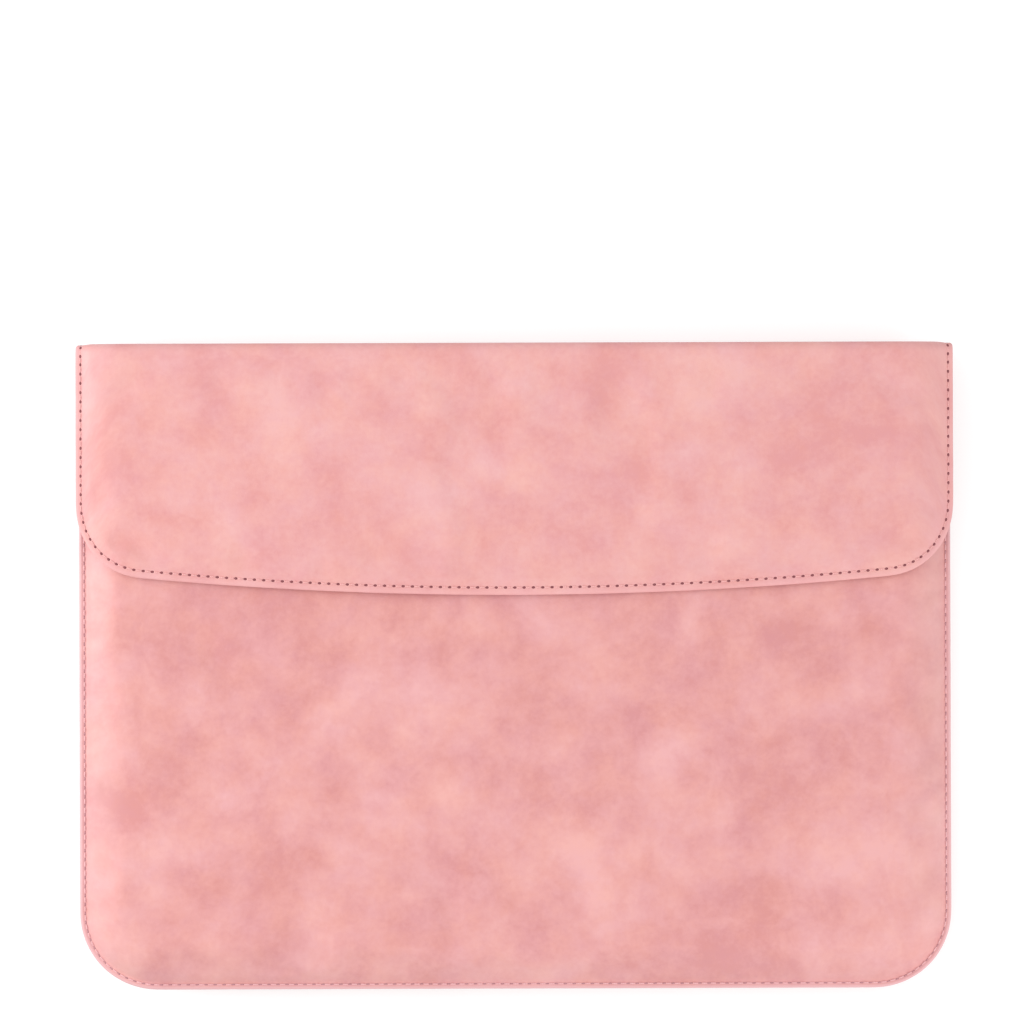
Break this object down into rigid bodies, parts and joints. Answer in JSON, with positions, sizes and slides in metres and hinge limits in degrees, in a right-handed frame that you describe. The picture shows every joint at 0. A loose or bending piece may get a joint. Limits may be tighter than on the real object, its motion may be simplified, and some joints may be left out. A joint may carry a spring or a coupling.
{
  "type": "laptop sleeve",
  "caption": "Slim padded envelope sleeve for a laptop, with a sewn rim, rounded bottom corners and a wide bowed flap that folds over the open end.",
  "frame": {"origin": "centre of the sleeve's outline on the surface that it lies on, under its back panel", "axes": "+X across the sleeve, +Y from the bottom seam to the fold, +Z from the back panel to the flap"},
  "size_m": [0.34, 0.252, 0.026],
  "materials": {
    "leather": "matte suede-look pink, softly mottled",
    "lining": "short brushed microfibre, dusty pink",
    "padding": "off-white foam sheet",
    "stiffener": "dark grey board",
    "keeper_steel": "plated steel plate",
    "magnet": "nickel plated magnet",
    "thread": "matching pink sewing thread"
  },
  "bodies": {
    "root": {"back_panel": "leather", "front_panel": "leather", "mouth_facing": "leather", "back_lining": "lining", "front_lining": "lining", "back_padding": "padding", "front_padding": "padding", "keeper_left": "keeper_steel", "keeper_right": "keeper_steel", "front_seam_thread": "thread", "back_seam_thread": "thread", "mouth_thread": "thread"},
    "spine": {"spine_panel": "leather", "spine_lining": "lining"},
    "flap": {"flap_panel": "leather", "flap_lining": "lining", "flap_board": "stiffener", "flap_magnet_left": "magnet", "flap_magnet_right": "magnet", "flap_thread": "thread"}
  },
  "joints": [
    {"name": "spine_fold", "type": "hinge", "parent": "root", "child": "spine", "pos_m": [0, 0.1248, 0.0019], "axis": [-1, 0, 0], "range_deg": [0, 90]},
    {"name": "flap_fold", "type": "hinge", "parent": "spine", "child": "flap", "pos_m": [0, 0.1248, 0.0241], "axis": [-1, 0, 0], "range_deg": [0, 90]}
  ]
}
